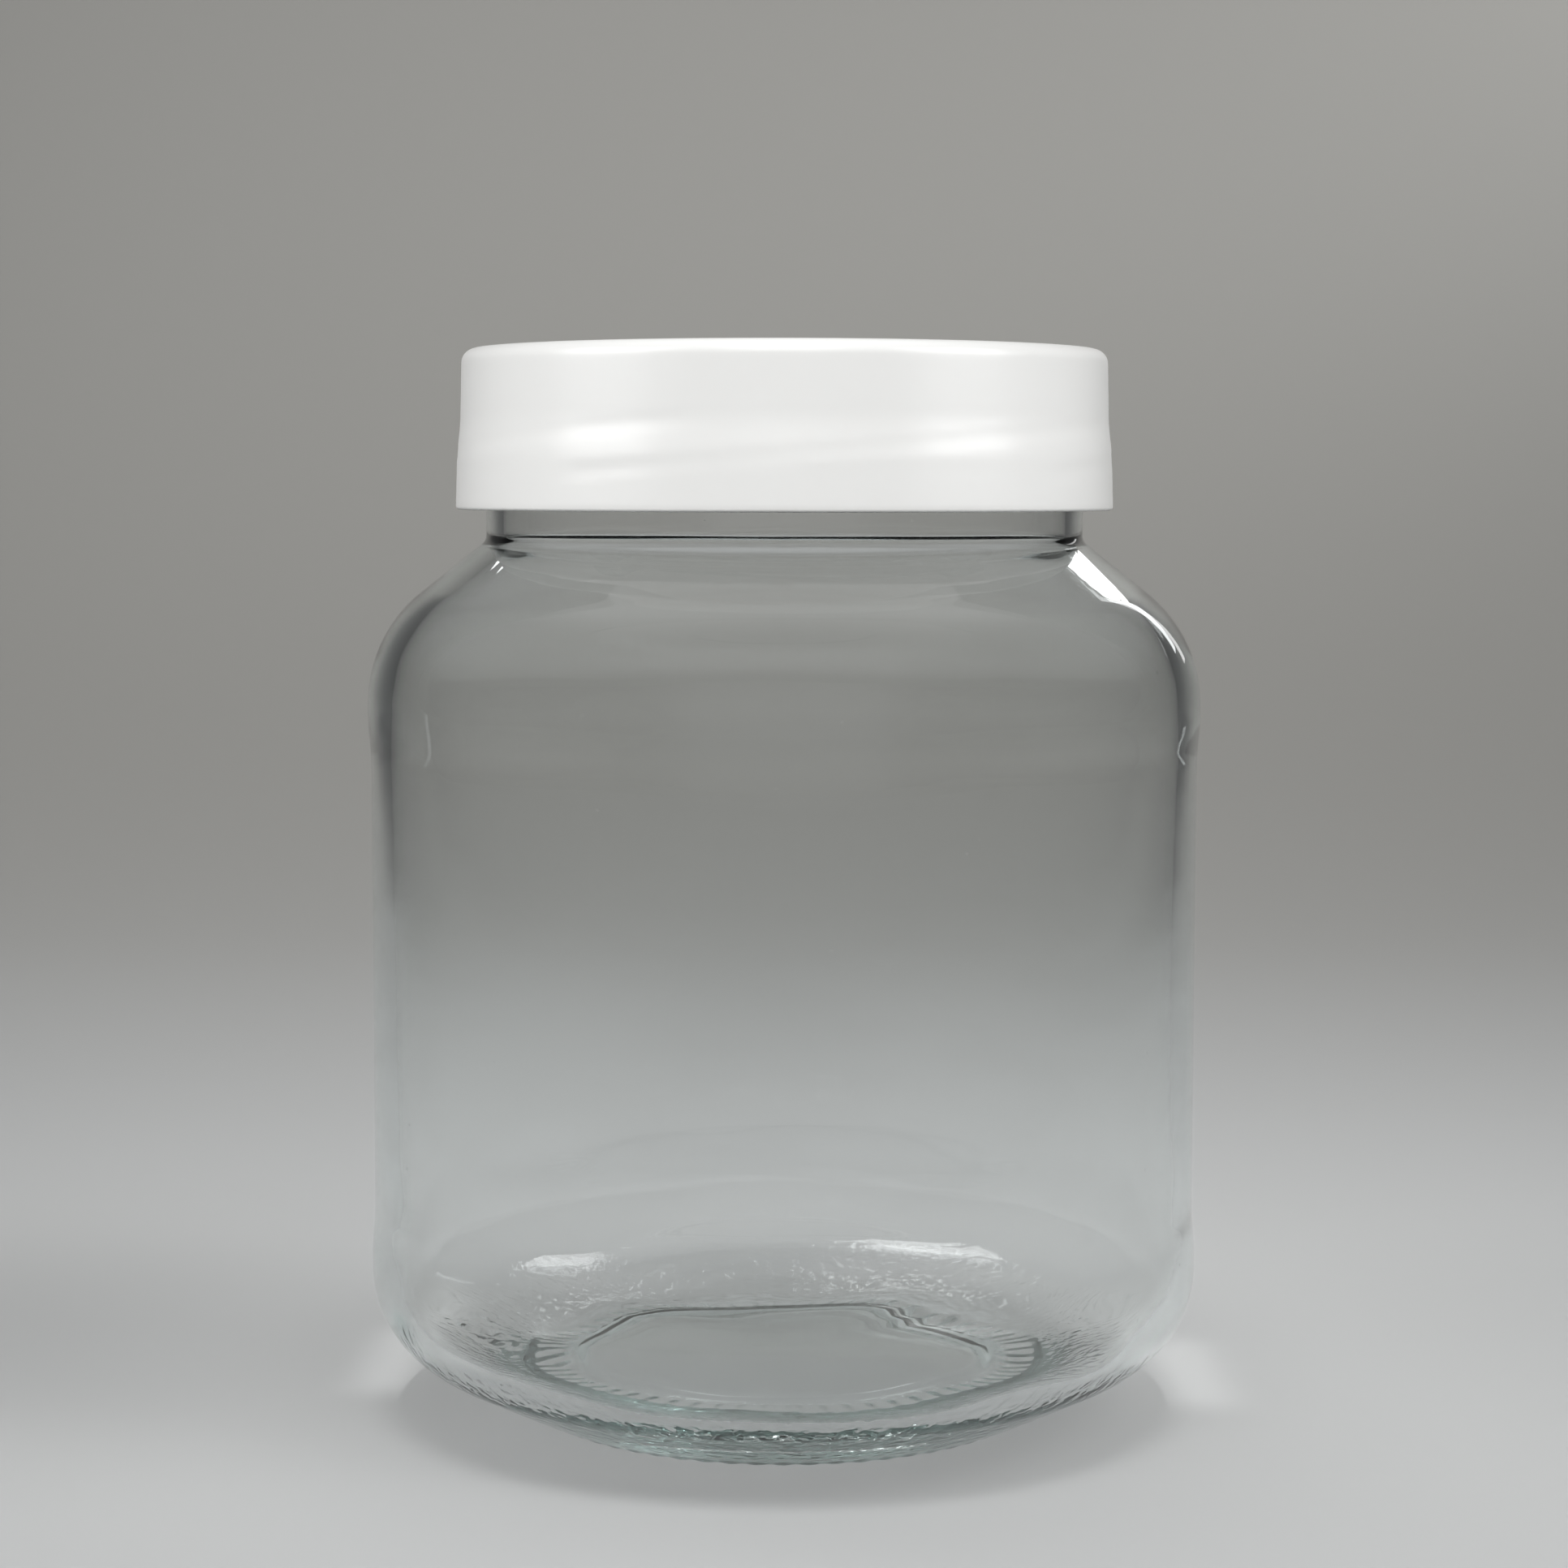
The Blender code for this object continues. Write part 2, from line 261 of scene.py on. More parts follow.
def turned(profile, columns):
    """A closed piece: the profile spun round the axis in so many columns, with its doubles merged."""
    bm = bmesh.new()
    corners = [bm.verts.new((radius, 0, height)) for radius, height in profile]
    edges = [bm.edges.new(pair) for pair in zip(corners, corners[1:])]
    bmesh.ops.spin(
        bm,
        geom=corners + edges,
        cent=(0, 0, 0),
        axis=(0, 0, 1),
        angle=2 * math.pi,
        steps=columns,
        use_merge=True,
    )
    bmesh.ops.remove_doubles(bm, verts=bm.verts, dist=MERGE_DISTANCE)
    bmesh.ops.recalc_face_normals(bm, faces=bm.faces)
    return bm


def from_start(angle, start):
    """An angle measured round from a start, from 0 to a full turn."""
    return (angle - start) % (2 * math.pi)


def ridge(distance):
    """Height of a thread's cross-section at a distance from its middle: a flat crest with soft flanks."""
    return eased((THREAD_HALF_WIDTH - abs(distance)) / THREAD_FLANK)


def thread_relief(angle, height, foot, at_sight, span):
    """How much of the thread's full height stands at this place, with starts that fade in and out.

    Each start rises from its foot; at_sight is the height of one start's middle at the sighting angle.
    """
    relief = 0
    start = THREAD_SIGHT + 2 * math.pi * (foot - at_sight) / THREAD_LEAD
    for k in range(THREAD_STARTS):
        run = from_start(angle, start + k * 2 * math.pi / THREAD_STARTS)
        if run < span:
            middle = foot + THREAD_LEAD * run / (2 * math.pi)
            fade = min(eased(run / THREAD_FADE), eased((span - run) / THREAD_FADE))
            relief = max(relief, fade * ridge(height - middle))
    return relief


def in_band(level, foot, growth, top, fading):
    """How much of a band there is at a level: it grows from its foot and fades from its top."""
    return eased((level - foot) / growth) * (1 - eased((level - top) / fading))


def blown_unevenness(place):
    """How far the blown inner wall swells here.

    Slow swells are least near the neck and on the floor, and level streaks lie round the heel.
    """
    swell = noise.noise(Vector((place.x, place.y, place.z * SWELL_FLATNESS)) / SWELL_LENGTH)
    flattened = Vector((place.x, place.y, place.z * STREAK_FLATNESS))
    streak = noise.noise(flattened / STREAK_LENGTH + STREAK_SHIFT)
    swell_share = SWELL_AT_ENDS + (1 - SWELL_AT_ENDS) * in_band(place.z, *SWELL_BAND)
    streak_share = STREAK_ELSEWHERE + (1 - STREAK_ELSEWHERE) * in_band(place.z, *STREAK_BAND)
    return swell_share * SWELL_HEIGHT * swell + streak_share * STREAK_HEIGHT * streak


def emboss_jar(bm):
    """Raises the thread, seams and neck mark of the spun glass, knurls its ring and swells its inside."""
    ring_outer = BODY_RADIUS - UNDERSIDE_REACH
    ring_middle = ring_outer - RING_WIDTH / 2
    bars_end = ring_outer - RING_WIDTH - BAR_OVERRUN
    floor_edge = BODY_RADIUS - FLOOR_MARGIN
    column = 2 * math.pi / (BARS * BAR_COLUMNS)
    for vertex in bm.verts:
        place = vertex.co
        radius = math.hypot(place.x, place.y)
        if radius < HAIR:
            continue
        angle = math.atan2(place.y, place.x)
        outward = Vector((place.x, place.y, 0)) / radius
        on_finish = place.z > BEAD_TOP and radius > FINISH_RADIUS - HAIR
        on_ring = place.z < RING_EDGE_ROUND and radius > bars_end
        on_floor = vertex.normal.z > 0.5 and radius < floor_edge
        if on_finish:
            relief = thread_relief(
                angle, place.z, JAR_THREAD_FOOT, JAR_THREAD_AT_SIGHT, JAR_THREAD_SPAN
            )
            vertex.co += outward * JAR_THREAD_HEIGHT * relief
        elif on_ring:
            across = eased(BAR_REACH - abs(radius - ring_middle) / (RING_WIDTH / 2))
            bar = (0.5 + 0.5 * math.cos(BARS * angle)) ** BAR_ROUNDNESS
            vertex.co.z += BAR_DEPTH * (1 - bar * across)
        elif vertex.normal.dot(outward) < 0 or on_floor:
            vertex.co -= vertex.normal * blown_unevenness(place)
        else:
            from_seam = abs((angle - SEAM + math.pi / 2) % math.pi - math.pi / 2)
            vertex.co += vertex.normal * SEAM_HEIGHT * max(0, 1 - from_seam / column)
            if place.z > NECK_MARK_FOOT:
                from_mark = abs(angle - NECK_MARK)
                vertex.co += vertex.normal * NECK_MARK_HEIGHT * max(0, 1 - from_mark / column)


glass_mesh = turned(list(reversed(jar_inside())) + jar_outside(), BARS * BAR_COLUMNS)
glass_mesh.normal_update()
emboss_jar(glass_mesh)


def piece(name, bm, finish):
    """A smooth-shaded object of the mesh, with its place in the mesh."""
    for face in bm.faces:
        face.smooth = True
    mesh = bpy.data.meshes.new(name)
    bm.to_mesh(mesh)
    bm.free()
    mesh.materials.append(finish)
    made = bpy.data.objects.new(name, mesh)
    bpy.context.scene.collection.objects.link(made)
    return made


class Wire:
    """One output of a material's nodes, so that shader sums read as Python."""

    def __init__(self, tree, socket):
        self.tree = tree
        self.socket = socket

    def _math(self, operation, first, second):
        settings = {"operation": operation}
        return add_node(self.tree, "ShaderNodeMath", settings, {0: first, 1: second})

    def __add__(self, other):
        return self._math("ADD", self, other)

    __radd__ = __add__

    def __mul__(self, other):
        return self._math("MULTIPLY", self, other)

    __rmul__ = __mul__

    def __sub__(self, other):
        return self._math("SUBTRACT", self, other)

    def __rsub__(self, other):
        return self._math("SUBTRACT", other, self)

    def __abs__(self):
        return self._math("ABSOLUTE", self, 0)


def add_node(tree, kind, settings, sockets, output=0):
    """One output of a new node, whose settings are made first, then its sockets' values or wires."""
    node = tree.nodes.new(kind)
    for name, value in settings.items():
        setattr(node, name, value)
    for name, value in sockets.items():
        if isinstance(value, Wire):
            tree.links.new(value.socket, node.inputs[name])
        else:
            node.inputs[name].default_value = value
    return Wire(tree, node.outputs[output])


def new_finish(name):
    """An empty material, its tree, and the wire of the piece's own coordinates."""
    material = bpy.data.materials.new(name)
    material.use_nodes = True
    tree = material.node_tree
    tree.nodes.clear()
    place = add_node(tree, "ShaderNodeTexCoord", {}, {}, "Object")
    return material, tree, place


def smooth_mask(tree, value, low, high):
    """0 where the value is under low, 1 where it is over high, and smooth between."""
    settings = {"interpolation_type": "SMOOTHSTEP"}
    sockets = {"Value": value, "From Min": low, "From Max": high}
    return add_node(tree, "ShaderNodeMapRange", settings, sockets)


def noise_pattern(tree, place, scale, detail):
    """Soft noise with so many swells to the metre."""
    sockets = {"Vector": place, "Scale": scale, "Detail": detail}
    return add_node(tree, "ShaderNodeTexNoise", {}, sockets, "Fac")


def cell_pattern(tree, place, scale):
    """Distance from the middle of the nearest cell, with so many cells to the metre."""
    return add_node(tree, "ShaderNodeTexVoronoi", {}, {"Vector": place, "Scale": scale}, "Distance")


def colour_mix(tree, share, first, second):
    """The first colour where the share is 0 and the second where it is 1."""
    sockets = {"Factor": share, "A": first, "B": second}
    return add_node(tree, "ShaderNodeMix", {"data_type": "RGBA"}, sockets, "Result")


def bump_normal(tree, height, strength, distance):
    """The normal of a surface that stands out by a height."""
    sockets = {"Height": height, "Strength": strength, "Distance": distance}
    return add_node(tree, "ShaderNodeBump", {}, sockets, "Normal")


def end_finish(tree, sockets, volume=None):
    """Ends a material in its principled shader and, for glass, in what fills it."""
    surface = add_node(tree, "ShaderNodeBsdfPrincipled", {}, sockets, "BSDF")
    ends = {"Surface": surface}
    if volume:
        ends["Volume"] = volume
    output = tree.nodes.new("ShaderNodeOutputMaterial")
    for name, wire in ends.items():
        tree.links.new(wire.socket, output.inputs[name])


FAINT_SEA_GREEN = (0.35, 0.76, 0.71, 1)
RIPPLE_FLATNESS = (0.3, 0.3, 1)
RIPPLE_SCALE = 190
STIPPLE_SCALE = 620
STIPPLE_SHARE = 12
STIPPLE_STARTS = 33.5 * MM
STIPPLE_FULL = 36.5 * MM
STIPPLE_FADES = 4 * MM
STIPPLE_ENDS = 12 * MM
SPECK_SCALE = 160
SPECK_CORE = 0.02
SPECK_EDGE = 0.05
SPECK_ROUGHNESS = 0.25
WORN_HEIGHT = 0.5 * MM
WORN_ENDS = 1.2 * MM
WORN_ROUGHNESS = 0.12


def glass_finish():
    """Fire-polished glass with faint ripples, a stippled underside and a few specks of dust."""
    material, tree, place = new_finish("clear_flint_glass")
    x, y, z = (add_node(tree, "ShaderNodeSeparateXYZ", {}, {"Vector": place}, axis) for axis in "XYZ")
    flattening = {"operation": "MULTIPLY"}
    flattened = add_node(tree, "ShaderNodeVectorMath", flattening, {0: place, 1: RIPPLE_FLATNESS})
    ripple = noise_pattern(tree, flattened, RIPPLE_SCALE, 1)
    stipple = noise_pattern(tree, place, STIPPLE_SCALE, 1)
    outside_ring = smooth_mask(tree, x * x + y * y, STIPPLE_STARTS**2, STIPPLE_FULL**2)
    on_underside = outside_ring * (1 - smooth_mask(tree, z, STIPPLE_FADES, STIPPLE_ENDS))
    specks = cell_pattern(tree, place, SPECK_SCALE)
    dust = (1 - smooth_mask(tree, specks, SPECK_CORE, SPECK_EDGE)) * SPECK_ROUGHNESS
    worn_foot = 1 - smooth_mask(tree, z, WORN_HEIGHT, WORN_ENDS)
    surface = {
        "Base Color": (1, 1, 1, 1),
        "Roughness": dust + worn_foot * WORN_ROUGHNESS,
        "IOR": 1.52,
        "Transmission Weight": 1.0,
        "Normal": bump_normal(tree, ripple + stipple * on_underside * STIPPLE_SHARE, 0.16, 0.1 * MM),
    }
    tint = {"Color": FAINT_SEA_GREEN, "Density": 10.0}
    end_finish(tree, surface, add_node(tree, "ShaderNodeVolumeAbsorption", {}, tint, "Volume"))
    return material


glass = piece("blown_glass_jar", glass_mesh, glass_finish())
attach(glass, "jar")
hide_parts("glass_jar")


# The lid. One injection moulding of white polypropylene: a flat top, a skirt that flares a little to its
# lower band, and inside it the four-start thread and a bead that holds the liner. The thick thread roots
# drew the skirt in by a hair as the plastic cooled, which shows outside as faint slanting streaks.
LID_LOW, LID_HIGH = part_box("screw_lid")
LID_FOOT = LID_LOW.z
LID_TOP = LID_HIGH.z
LID_SKIRT = LID_HIGH.x
LID_CROWN = 41.0 * MM
LID_MOUTH = 40.3 * MM
LID_BORE = 39.5 * MM
LID_TOP_PLATE = 1.6 * MM
LID_EDGE_ROUND = 1.8 * MM
LID_LOWER_BAND = 5.4 * MM
LID_FLARE_HEIGHT = 6.8 * MM
LID_BAND_DRAFT = 0.15 * MM
LID_INNER_CORNER = 0.6 * MM
LID_LIP_ROUND = 0.4 * MM
LID_COLUMNS = 384

TOP_PANEL_RADIUS = 36.6 * MM
TOP_PANEL_DROP = 0.15 * MM
TOP_GROOVE_INNER_SIDE = 1.2 * MM
TOP_GROOVE_OUTER_SIDE = 0.6 * MM
GATE_RADIUS = 1.4 * MM
GATE_FLOOR_RADIUS = GATE_RADIUS * 0.6
GATE_DEPTH = 0.25 * MM

RETAINER_CREST = 38.2 * MM
RETAINER_FOOT = RIM_LEVEL - 1.0 * MM
RETAINER_HEIGHT = 1.2 * MM

LID_THREAD_CREST = 37.75 * MM
LID_THREAD_AT_SIGHT = JAR_THREAD_AT_SIGHT - THREAD_LEAD / THREAD_STARTS / 2
LID_THREAD_FOOT = 119.8 * MM
LID_THREAD_SPAN = math.radians(122)
SINK_DEPTH = 0.05 * MM

FLAT_SPACING = 3.5 * MM
EDGE_SPACING = 0.3 * MM
SKIRT_SPACING = 0.6 * MM
LIP_SPACING = 0.15 * MM
CORNER_SPACING = 0.25 * MM
CEILING_SPACING = 4 * MM


def lid_outside():
    """Outer profile of the lid, from the middle of its top down to the lip of the skirt."""
    points = [(0, LID_TOP - GATE_DEPTH), (GATE_FLOOR_RADIUS, LID_TOP - GATE_DEPTH)]
    points += soft_ramp(points[-1], (GATE_RADIUS, LID_TOP), steps=3)
    points += line(points[-1], (TOP_PANEL_RADIUS - TOP_GROOVE_INNER_SIDE, LID_TOP), FLAT_SPACING)
    points += soft_ramp(points[-1], (TOP_PANEL_RADIUS, LID_TOP - TOP_PANEL_DROP), steps=4)
    points += soft_ramp(points[-1], (TOP_PANEL_RADIUS + TOP_GROOVE_OUTER_SIDE, LID_TOP), steps=3)
    edge = LID_EDGE_ROUND
    points += arc(LID_CROWN - edge, LID_TOP - edge, edge, 90, 0, EDGE_SPACING)
    flare_foot = (LID_SKIRT - LID_BAND_DRAFT, LID_FOOT + LID_LOWER_BAND)
    flare_top = (LID_CROWN + LID_BAND_DRAFT, LID_FOOT + LID_LOWER_BAND + LID_FLARE_HEIGHT)
    points += line(points[-1], flare_top, SKIRT_SPACING)
    points += soft_step(flare_top, flare_foot, steps=12)
    lip = LID_LIP_ROUND
    points += line(flare_foot, (LID_SKIRT, LID_FOOT + lip), SKIRT_SPACING)
    return points + arc(LID_SKIRT - lip, LID_FOOT + lip, lip, 0, -90, LIP_SPACING)


def lid_inside():
    """Inner profile of the lid, from the lip of the skirt up to the middle of the ceiling."""
    lip = LID_LIP_ROUND
    points = arc(LID_MOUTH + lip, LID_FOOT + lip, lip, -90, -180, LIP_SPACING)
    points += line(points[-1], (LID_BORE, RETAINER_FOOT), THREAD_SPACING)
    reach = LID_BORE - RETAINER_CREST
    shares = [i / 8 for i in range(9)]
    points += [
        (LID_BORE - reach * math.sin(math.pi * s), RETAINER_FOOT + RETAINER_HEIGHT * s) for s in shares
    ]
    corner = LID_INNER_CORNER
    ceiling = LID_TOP - LID_TOP_PLATE
    points += arc(LID_BORE - corner, ceiling - corner, corner, 0, 90, CORNER_SPACING)
    return points + line(points[-1], (0, ceiling), CEILING_SPACING)


def thread_lid(bm):
    """Raises the thread inside the skirt, and draws the outside in over it."""
    for vertex in bm.verts:
        place = vertex.co
        radius = math.hypot(place.x, place.y)
        if not LID_THREAD_FOOT - THREAD_HALF_WIDTH < place.z < RETAINER_FOOT:
            continue
        relief = thread_relief(
            math.atan2(place.y, place.x), place.z, LID_THREAD_FOOT, LID_THREAD_AT_SIGHT, LID_THREAD_SPAN
        )
        inside = radius < (LID_MOUTH + LID_CROWN) / 2
        target = LID_THREAD_CREST if inside else radius - SINK_DEPTH
        reached = radius + (target - radius) * relief
        vertex.co.x *= reached / radius
        vertex.co.y *= reached / radius


lid_mesh = turned(lid_outside() + lid_inside(), LID_COLUMNS)
thread_lid(lid_mesh)


MILK_WHITE = (0.815, 0.815, 0.80, 1)
PALER_WHITE = (0.825, 0.825, 0.812, 1)
MOTTLE_SCALE = 70
GRAIN_SCALE = 1400


def plastic_finish():
    """Moulded white plastic with a slight mottle and the fine grain of the mould."""
    material, tree, place = new_finish("white_polypropylene")
    mottle = noise_pattern(tree, place, MOTTLE_SCALE, 4)
    grain = noise_pattern(tree, place, GRAIN_SCALE, 2)
    surface = {
        "Base Color": colour_mix(tree, mottle, MILK_WHITE, PALER_WHITE),
        "Roughness": mottle * 0.04 + 0.27,
        "Normal": bump_normal(tree, grain, 0.12, 0.01 * MM),
        "IOR": 1.49,
    }
    end_finish(tree, surface)
    return material


lid = piece("threaded_lid", lid_mesh, plastic_finish())
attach(lid, "lid")
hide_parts("screw_lid")


# The liner. A disc of thin closed-cell foam, cut to snap in behind the lid's bead. The glass rim has
# pressed a shallow ring into its underside.
LINER_LOW, LINER_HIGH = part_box("lid_liner")
LINER_EDGE_ROUND = 0.2 * MM
PRESSED_DEPTH = 0.12 * MM
PRESSED_MARGIN = 0.3 * MM
PRESSED_BLEND = 0.5 * MM
PRESSED_SPACING = 1 * MM
LINER_EDGE_SPACING = 0.1 * MM
LINER_COLUMNS = 192


def liner_profile():
    """Closed profile of the disc, with the rim's ring pressed into its underside."""
    edge = LINER_EDGE_ROUND
    middle = LINER_HIGH.x - edge
    points = line((0, LINER_HIGH.z), (middle, LINER_HIGH.z), CEILING_SPACING)
    points += arc(middle, LINER_HIGH.z - edge, edge, 90, -90, LINER_EDGE_SPACING)[1:]
    outer = FINISH_RADIUS + PRESSED_MARGIN
    inner = FINISH_RADIUS - FINISH_WALL - PRESSED_MARGIN
    pressed = LINER_LOW.z + PRESSED_DEPTH
    points += soft_ramp((outer + PRESSED_BLEND, LINER_LOW.z), (outer, pressed), steps=3)
    points += line(points[-1], (inner, pressed), PRESSED_SPACING)
    points += soft_ramp(points[-1], (inner - PRESSED_BLEND, LINER_LOW.z), steps=3)
    return points + line(points[-1], (0, LINER_LOW.z), CEILING_SPACING)


# The duller white lies where the cells sink in as dimples, mixed with soft clouds.
FOAM_DIMPLE_WHITE = (0.74, 0.74, 0.72, 1)
FOAM_WHITE = (0.86, 0.86, 0.85, 1)
CELL_SCALE = 2600
CLOUD_SCALE = 160


def foam_finish():
    """Matt white foam whose small closed cells show as dimples."""
    material, tree, place = new_finish("closed_cell_foam")
    cells = cell_pattern(tree, place, CELL_SCALE)
    cloud = noise_pattern(tree, place, CLOUD_SCALE, 3)
    shade = cloud * 0.6 + cells * 0.4
    surface = {
        "Base Color": colour_mix(tree, shade, FOAM_DIMPLE_WHITE, FOAM_WHITE),
        "Roughness": cells * 0.2 + 0.6,
        "Normal": bump_normal(tree, cells, 0.5, 0.05 * MM),
    }
    end_finish(tree, surface)
    return material


liner = piece("foam_liner", turned(liner_profile(), LINER_COLUMNS), foam_finish())
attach(liner, "liner")
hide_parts("lid_liner")


# The stage. One wide sheet of pale matt paper that lies flat under the jar and sweeps up behind it. Its
# colour holds painted shade, darker behind, in front and beside the jar as if out of the light.
SHEET_HALF_WIDTH = 1.6
SHEET_FRONT = -0.95
SHEET_TOP = 2.2
SWEEP_START = 0.42
SWEEP_ROUND = 0.45
SWEEP_STEPS = 30

# The warm backdrop and the unlit paper are painted shade, up the sweep and far in front and aside.
PALE_PAPER = (0.62, 0.63, 0.63, 1)
WARM_BACKDROP_PAINTED_SHADE = (0.42, 0.415, 0.395, 1)
UNLIT_PAPER = (0.20, 0.20, 0.20, 1)
BACKDROP_STARTS = 0.12
BACKDROP_FULL = 0.66
FRONT_FADES = 0.08
FRONT_ENDS = 0.42
SIDE_FADES = 0.31
SIDE_ENDS = 0.52


def paper_finish():
    """Matt paper: pale under the jar, warmer up the sweep, with painted shade behind, before and aside.
    """
    material, tree, place = new_finish("studio_paper")
    x, y = (add_node(tree, "ShaderNodeSeparateXYZ", {}, {"Vector": place}, axis) for axis in "XY")
    # Masks of painted shade: up the sweep behind, far in front and far aside.
    behind = smooth_mask(tree, y, BACKDROP_STARTS, BACKDROP_FULL)
    in_front = smooth_mask(tree, y * -1, FRONT_FADES, FRONT_ENDS)
    beside = smooth_mask(tree, abs(x), SIDE_FADES, SIDE_ENDS)
    away = 1 - (1 - in_front) * (1 - beside)
    sheet_painted_shade = colour_mix(tree, behind, PALE_PAPER, WARM_BACKDROP_PAINTED_SHADE)
    surface = {"Base Color": colour_mix(tree, away, sheet_painted_shade, UNLIT_PAPER), "Roughness": 0.9}
    end_finish(tree, surface)
    return material


def paper_sheet():
    """The sheet's side view, with its quarter-round sweep, drawn out from one side to the other."""
    bm = bmesh.new()
    bends = [math.radians(90 * i / SWEEP_STEPS) for i in range(1, SWEEP_STEPS + 1)]
    path = [(SHEET_FRONT, 0), (SWEEP_START, 0)]
    path += [
        (SWEEP_START + SWEEP_ROUND * math.sin(bend), SWEEP_ROUND * (1 - math.cos(bend))) for bend in bends
    ]
    path += [(SWEEP_START + SWEEP_ROUND, SHEET_TOP)]
    corners = [bm.verts.new((-SHEET_HALF_WIDTH, y, z)) for y, z in path]
    edges = [bm.edges.new(pair) for pair in zip(corners, corners[1:])]
    wide = bmesh.ops.extrude_edge_only(bm, edges=edges)
    moved = [part for part in wide["geom"] if isinstance(part, bmesh.types.BMVert)]
    bmesh.ops.translate(bm, verts=moved, vec=(2 * SHEET_HALF_WIDTH, 0, 0))
    return bm


paper = piece("studio_sheet", paper_sheet(), paper_finish())


# The light. The table's softboxes reach only the paper. Most are shaded by all but the glass, two leave
# its soft shadow, and two narrow ones stand for the light that it throws beside its base. The lid and the
# glass have softboxes of their own, and the room is dark at its sides, which draws the glass's edges.
def softbox(name, azimuth, elevation, distance, size, spread, power, lit, aim, shaded_by=None):
    """A soft rectangle, size in metres and power in watts, that lights only the objects in lit.

    It stands at a distance from its aim, azimuth degrees round from the camera's side and elevation
    degrees up from the table. All objects shade it, or only those of a collection.
    """
    lamp = bpy.data.lights.new(name, "AREA")
    lamp.shape = "RECTANGLE"
    lamp.size, lamp.size_y = size
    lamp.spread = math.radians(spread)
    lamp.energy = power
    around, up = math.radians(azimuth), math.radians(elevation)
    away = Vector((math.sin(around) * math.cos(up), -math.cos(around) * math.cos(up), math.sin(up)))
    holder = bpy.data.objects.new(name, lamp)
    holder.location = Vector(aim) + away * distance
    holder.rotation_euler = away.to_track_quat("Z", "Y").to_euler()
    bpy.context.scene.collection.objects.link(holder)
    receivers = bpy.data.collections.new(name + "_lights")
    for each in lit:
        receivers.objects.link(each)
    holder.light_linking.receiver_collection = receivers
    if shaded_by:
        holder.light_linking.blocker_collection = shaded_by
    holder.visible_camera = False


caps = [lid, liner]
solids = bpy.data.collections.new("solids")
for each in (paper, lid, liner):
    solids.objects.link(each)

BEHIND_JAR = (0, 0.10, 0)
UNDER_JAR = (0, 0.05, 0)
BEFORE_JAR = (0, -0.15, 0)
ON_SWEEP = (0.0, 0.82, 0.40)
RIGHT_OF_SWEEP = (0.40, 0.87, 0.40)
RIGHT_OF_BASE = (0.054, 0.012, 0)
LEFT_OF_BASE = (-0.052, 0.018, 0)
ON_LID = (0, 0, 0.12)
ON_GLASS = (0, 0, 0.07)
HEEL_BACK_RIGHT = (0.0187, 0.042, 0.0102)
HEEL_BACK_LEFT = (-0.0286, 0.0366, 0.0102)

softbox("table_right", 70, 50, 0.9, (0.3, 0.3), 50, 0.17, [paper], BEHIND_JAR, solids)
softbox("table_shade", 60, 45, 0.9, (0.4, 0.4), 50, 0.08, [paper], UNDER_JAR)
softbox("table_left", -70, 45, 0.9, (0.3, 0.3), 50, 0.09, [paper], BEHIND_JAR, solids)
softbox("table_front", 0, 80, 0.7, (0.4, 0.4), 40, 0.14, [paper], BEFORE_JAR)
softbox("table_near", 0, 80, 0.7, (0.4, 0.4), 40, 0.11, [paper], BEFORE_JAR, solids)
softbox("backdrop_wash", -16, 60, 1.0, (0.8, 0.4), 110, 3.75, [paper], ON_SWEEP, solids)
softbox("corner_glow", 60, 30, 0.5, (0.2, 0.2), 50, 0.26, [paper], RIGHT_OF_SWEEP, solids)
softbox("thrown_right", 90, 80, 0.3, (0.034, 0.005), 3, 0.00020, [paper], RIGHT_OF_BASE)
softbox("thrown_left", -90, 80, 0.3, (0.034, 0.005), 3, 0.00022, [paper], LEFT_OF_BASE)
softbox("lid_right", 65, 25, 0.8, (0.5, 0.5), 180, 4.8, caps, ON_LID, solids)
softbox("lid_left", -65, 25, 0.8, (0.5, 0.5), 180, 4.9, caps, ON_LID, solids)
softbox("lid_front", 0, 38, 0.8, (0.5, 0.5), 180, 2.9, caps, ON_LID, solids)
softbox("strip_behind_right", 148, 18, 0.8, (0.04, 0.32), 180, 0.06, [glass], ON_GLASS)
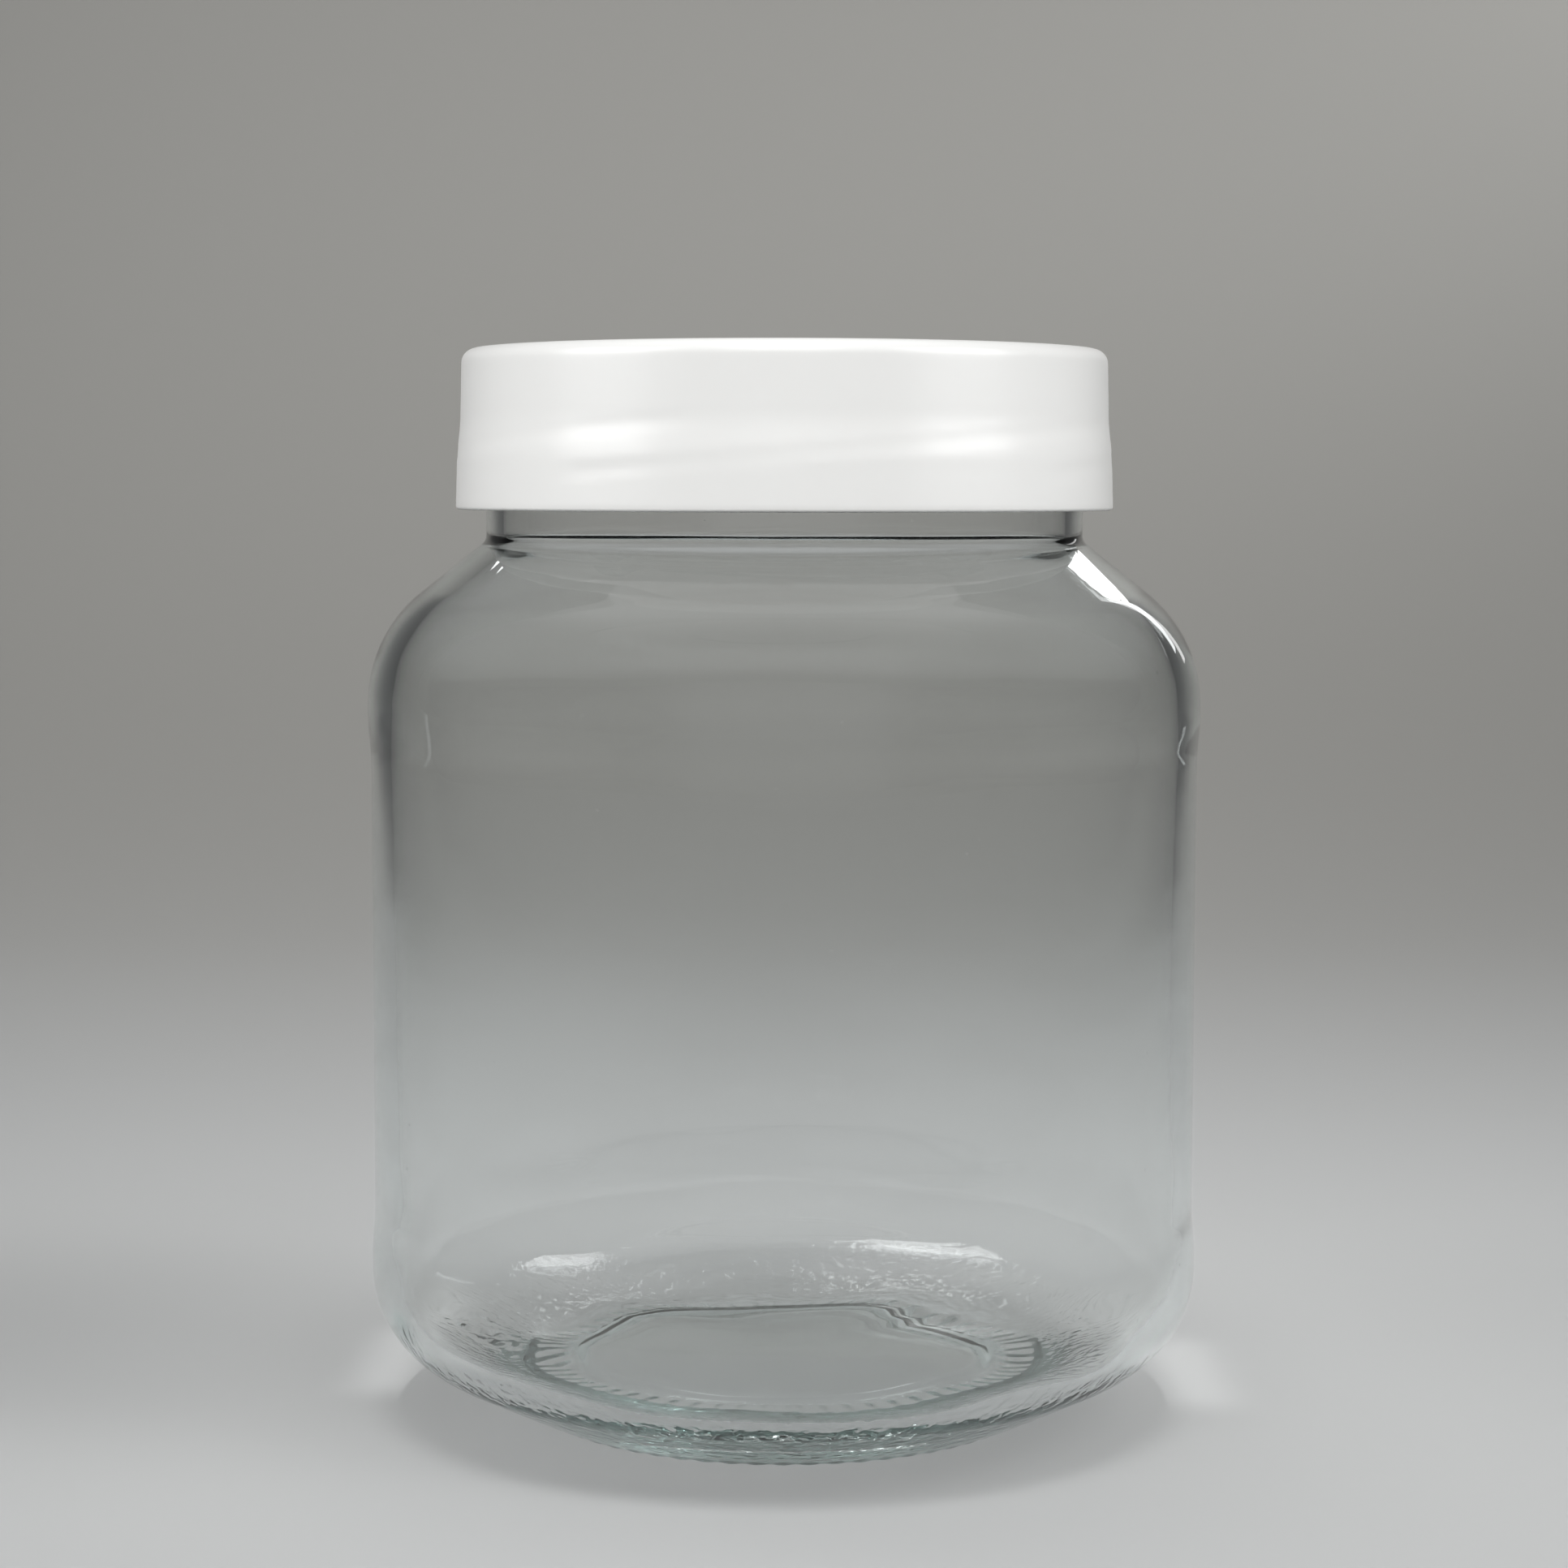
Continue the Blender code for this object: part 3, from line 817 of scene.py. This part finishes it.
softbox("heel_right", -112, 66, 0.165, (0.05, 0.05), 180, 0.040, [glass], HEEL_BACK_RIGHT)
softbox("heel_left", 124, 53, 0.19, (0.06, 0.04), 180, 0.036, [glass], HEEL_BACK_LEFT)

ROOM_FRONT = 0.12
ROOM_BACK_GAIN = 0.33
ROOM_FRONT_ENDS = -0.45
ROOM_BACK_STARTS = 0.25
FLAG_DARKNESS = 0.94
FLAGS_START = 0.35
FLAGS_FULL = 0.70
room = bpy.data.worlds.new("dim_room")
room.use_nodes = True
sky = room.node_tree
seen = add_node(sky, "ShaderNodeTexCoord", {}, {}, "Generated")
to_side, to_back = (add_node(sky, "ShaderNodeSeparateXYZ", {}, {"Vector": seen}, axis) for axis in "XY")
open_room = smooth_mask(sky, to_back, ROOM_FRONT_ENDS, ROOM_BACK_STARTS) * ROOM_BACK_GAIN + ROOM_FRONT
at_sides = smooth_mask(sky, abs(to_side), FLAGS_START, FLAGS_FULL) * FLAG_DARKNESS
sky.links.new((open_room * (1 - at_sides)).socket, sky.nodes["Background"].inputs["Color"])
bpy.context.scene.world = room
bpy.context.scene.view_settings.view_transform = "Standard"
bpy.context.scene.cycles.max_bounces = 16
bpy.context.scene.cycles.transmission_bounces = 16
bpy.context.scene.cycles.glossy_bounces = 12


# The camera of the photograph, as its lens and place were worked out from the lid's edges and the base's
# outline: 44 cm in front of the jar's axis, 12 cm above the table, and pitched down by 5 degrees.
PHOTO_SIDE = 1932
FOCAL_PIXELS = 4228
SENSOR = 36.0
CAMERA_PLACE = (0, -0.440, 0.1195)
CAMERA_PITCH = 0.0891
CAMERA_ROLL = 0.0016
camera_lens = bpy.data.cameras.new("photo_camera")
camera_lens.sensor_width = SENSOR
camera_lens.lens = FOCAL_PIXELS / PHOTO_SIDE * SENSOR
camera = bpy.data.objects.new("photo_camera", camera_lens)
camera.location = CAMERA_PLACE
camera.rotation_euler = (math.pi / 2 - CAMERA_PITCH, 0.0, 0.0)
camera.rotation_euler.rotate_axis("Z", CAMERA_ROLL)
bpy.context.scene.collection.objects.link(camera)
bpy.context.scene.camera = camera
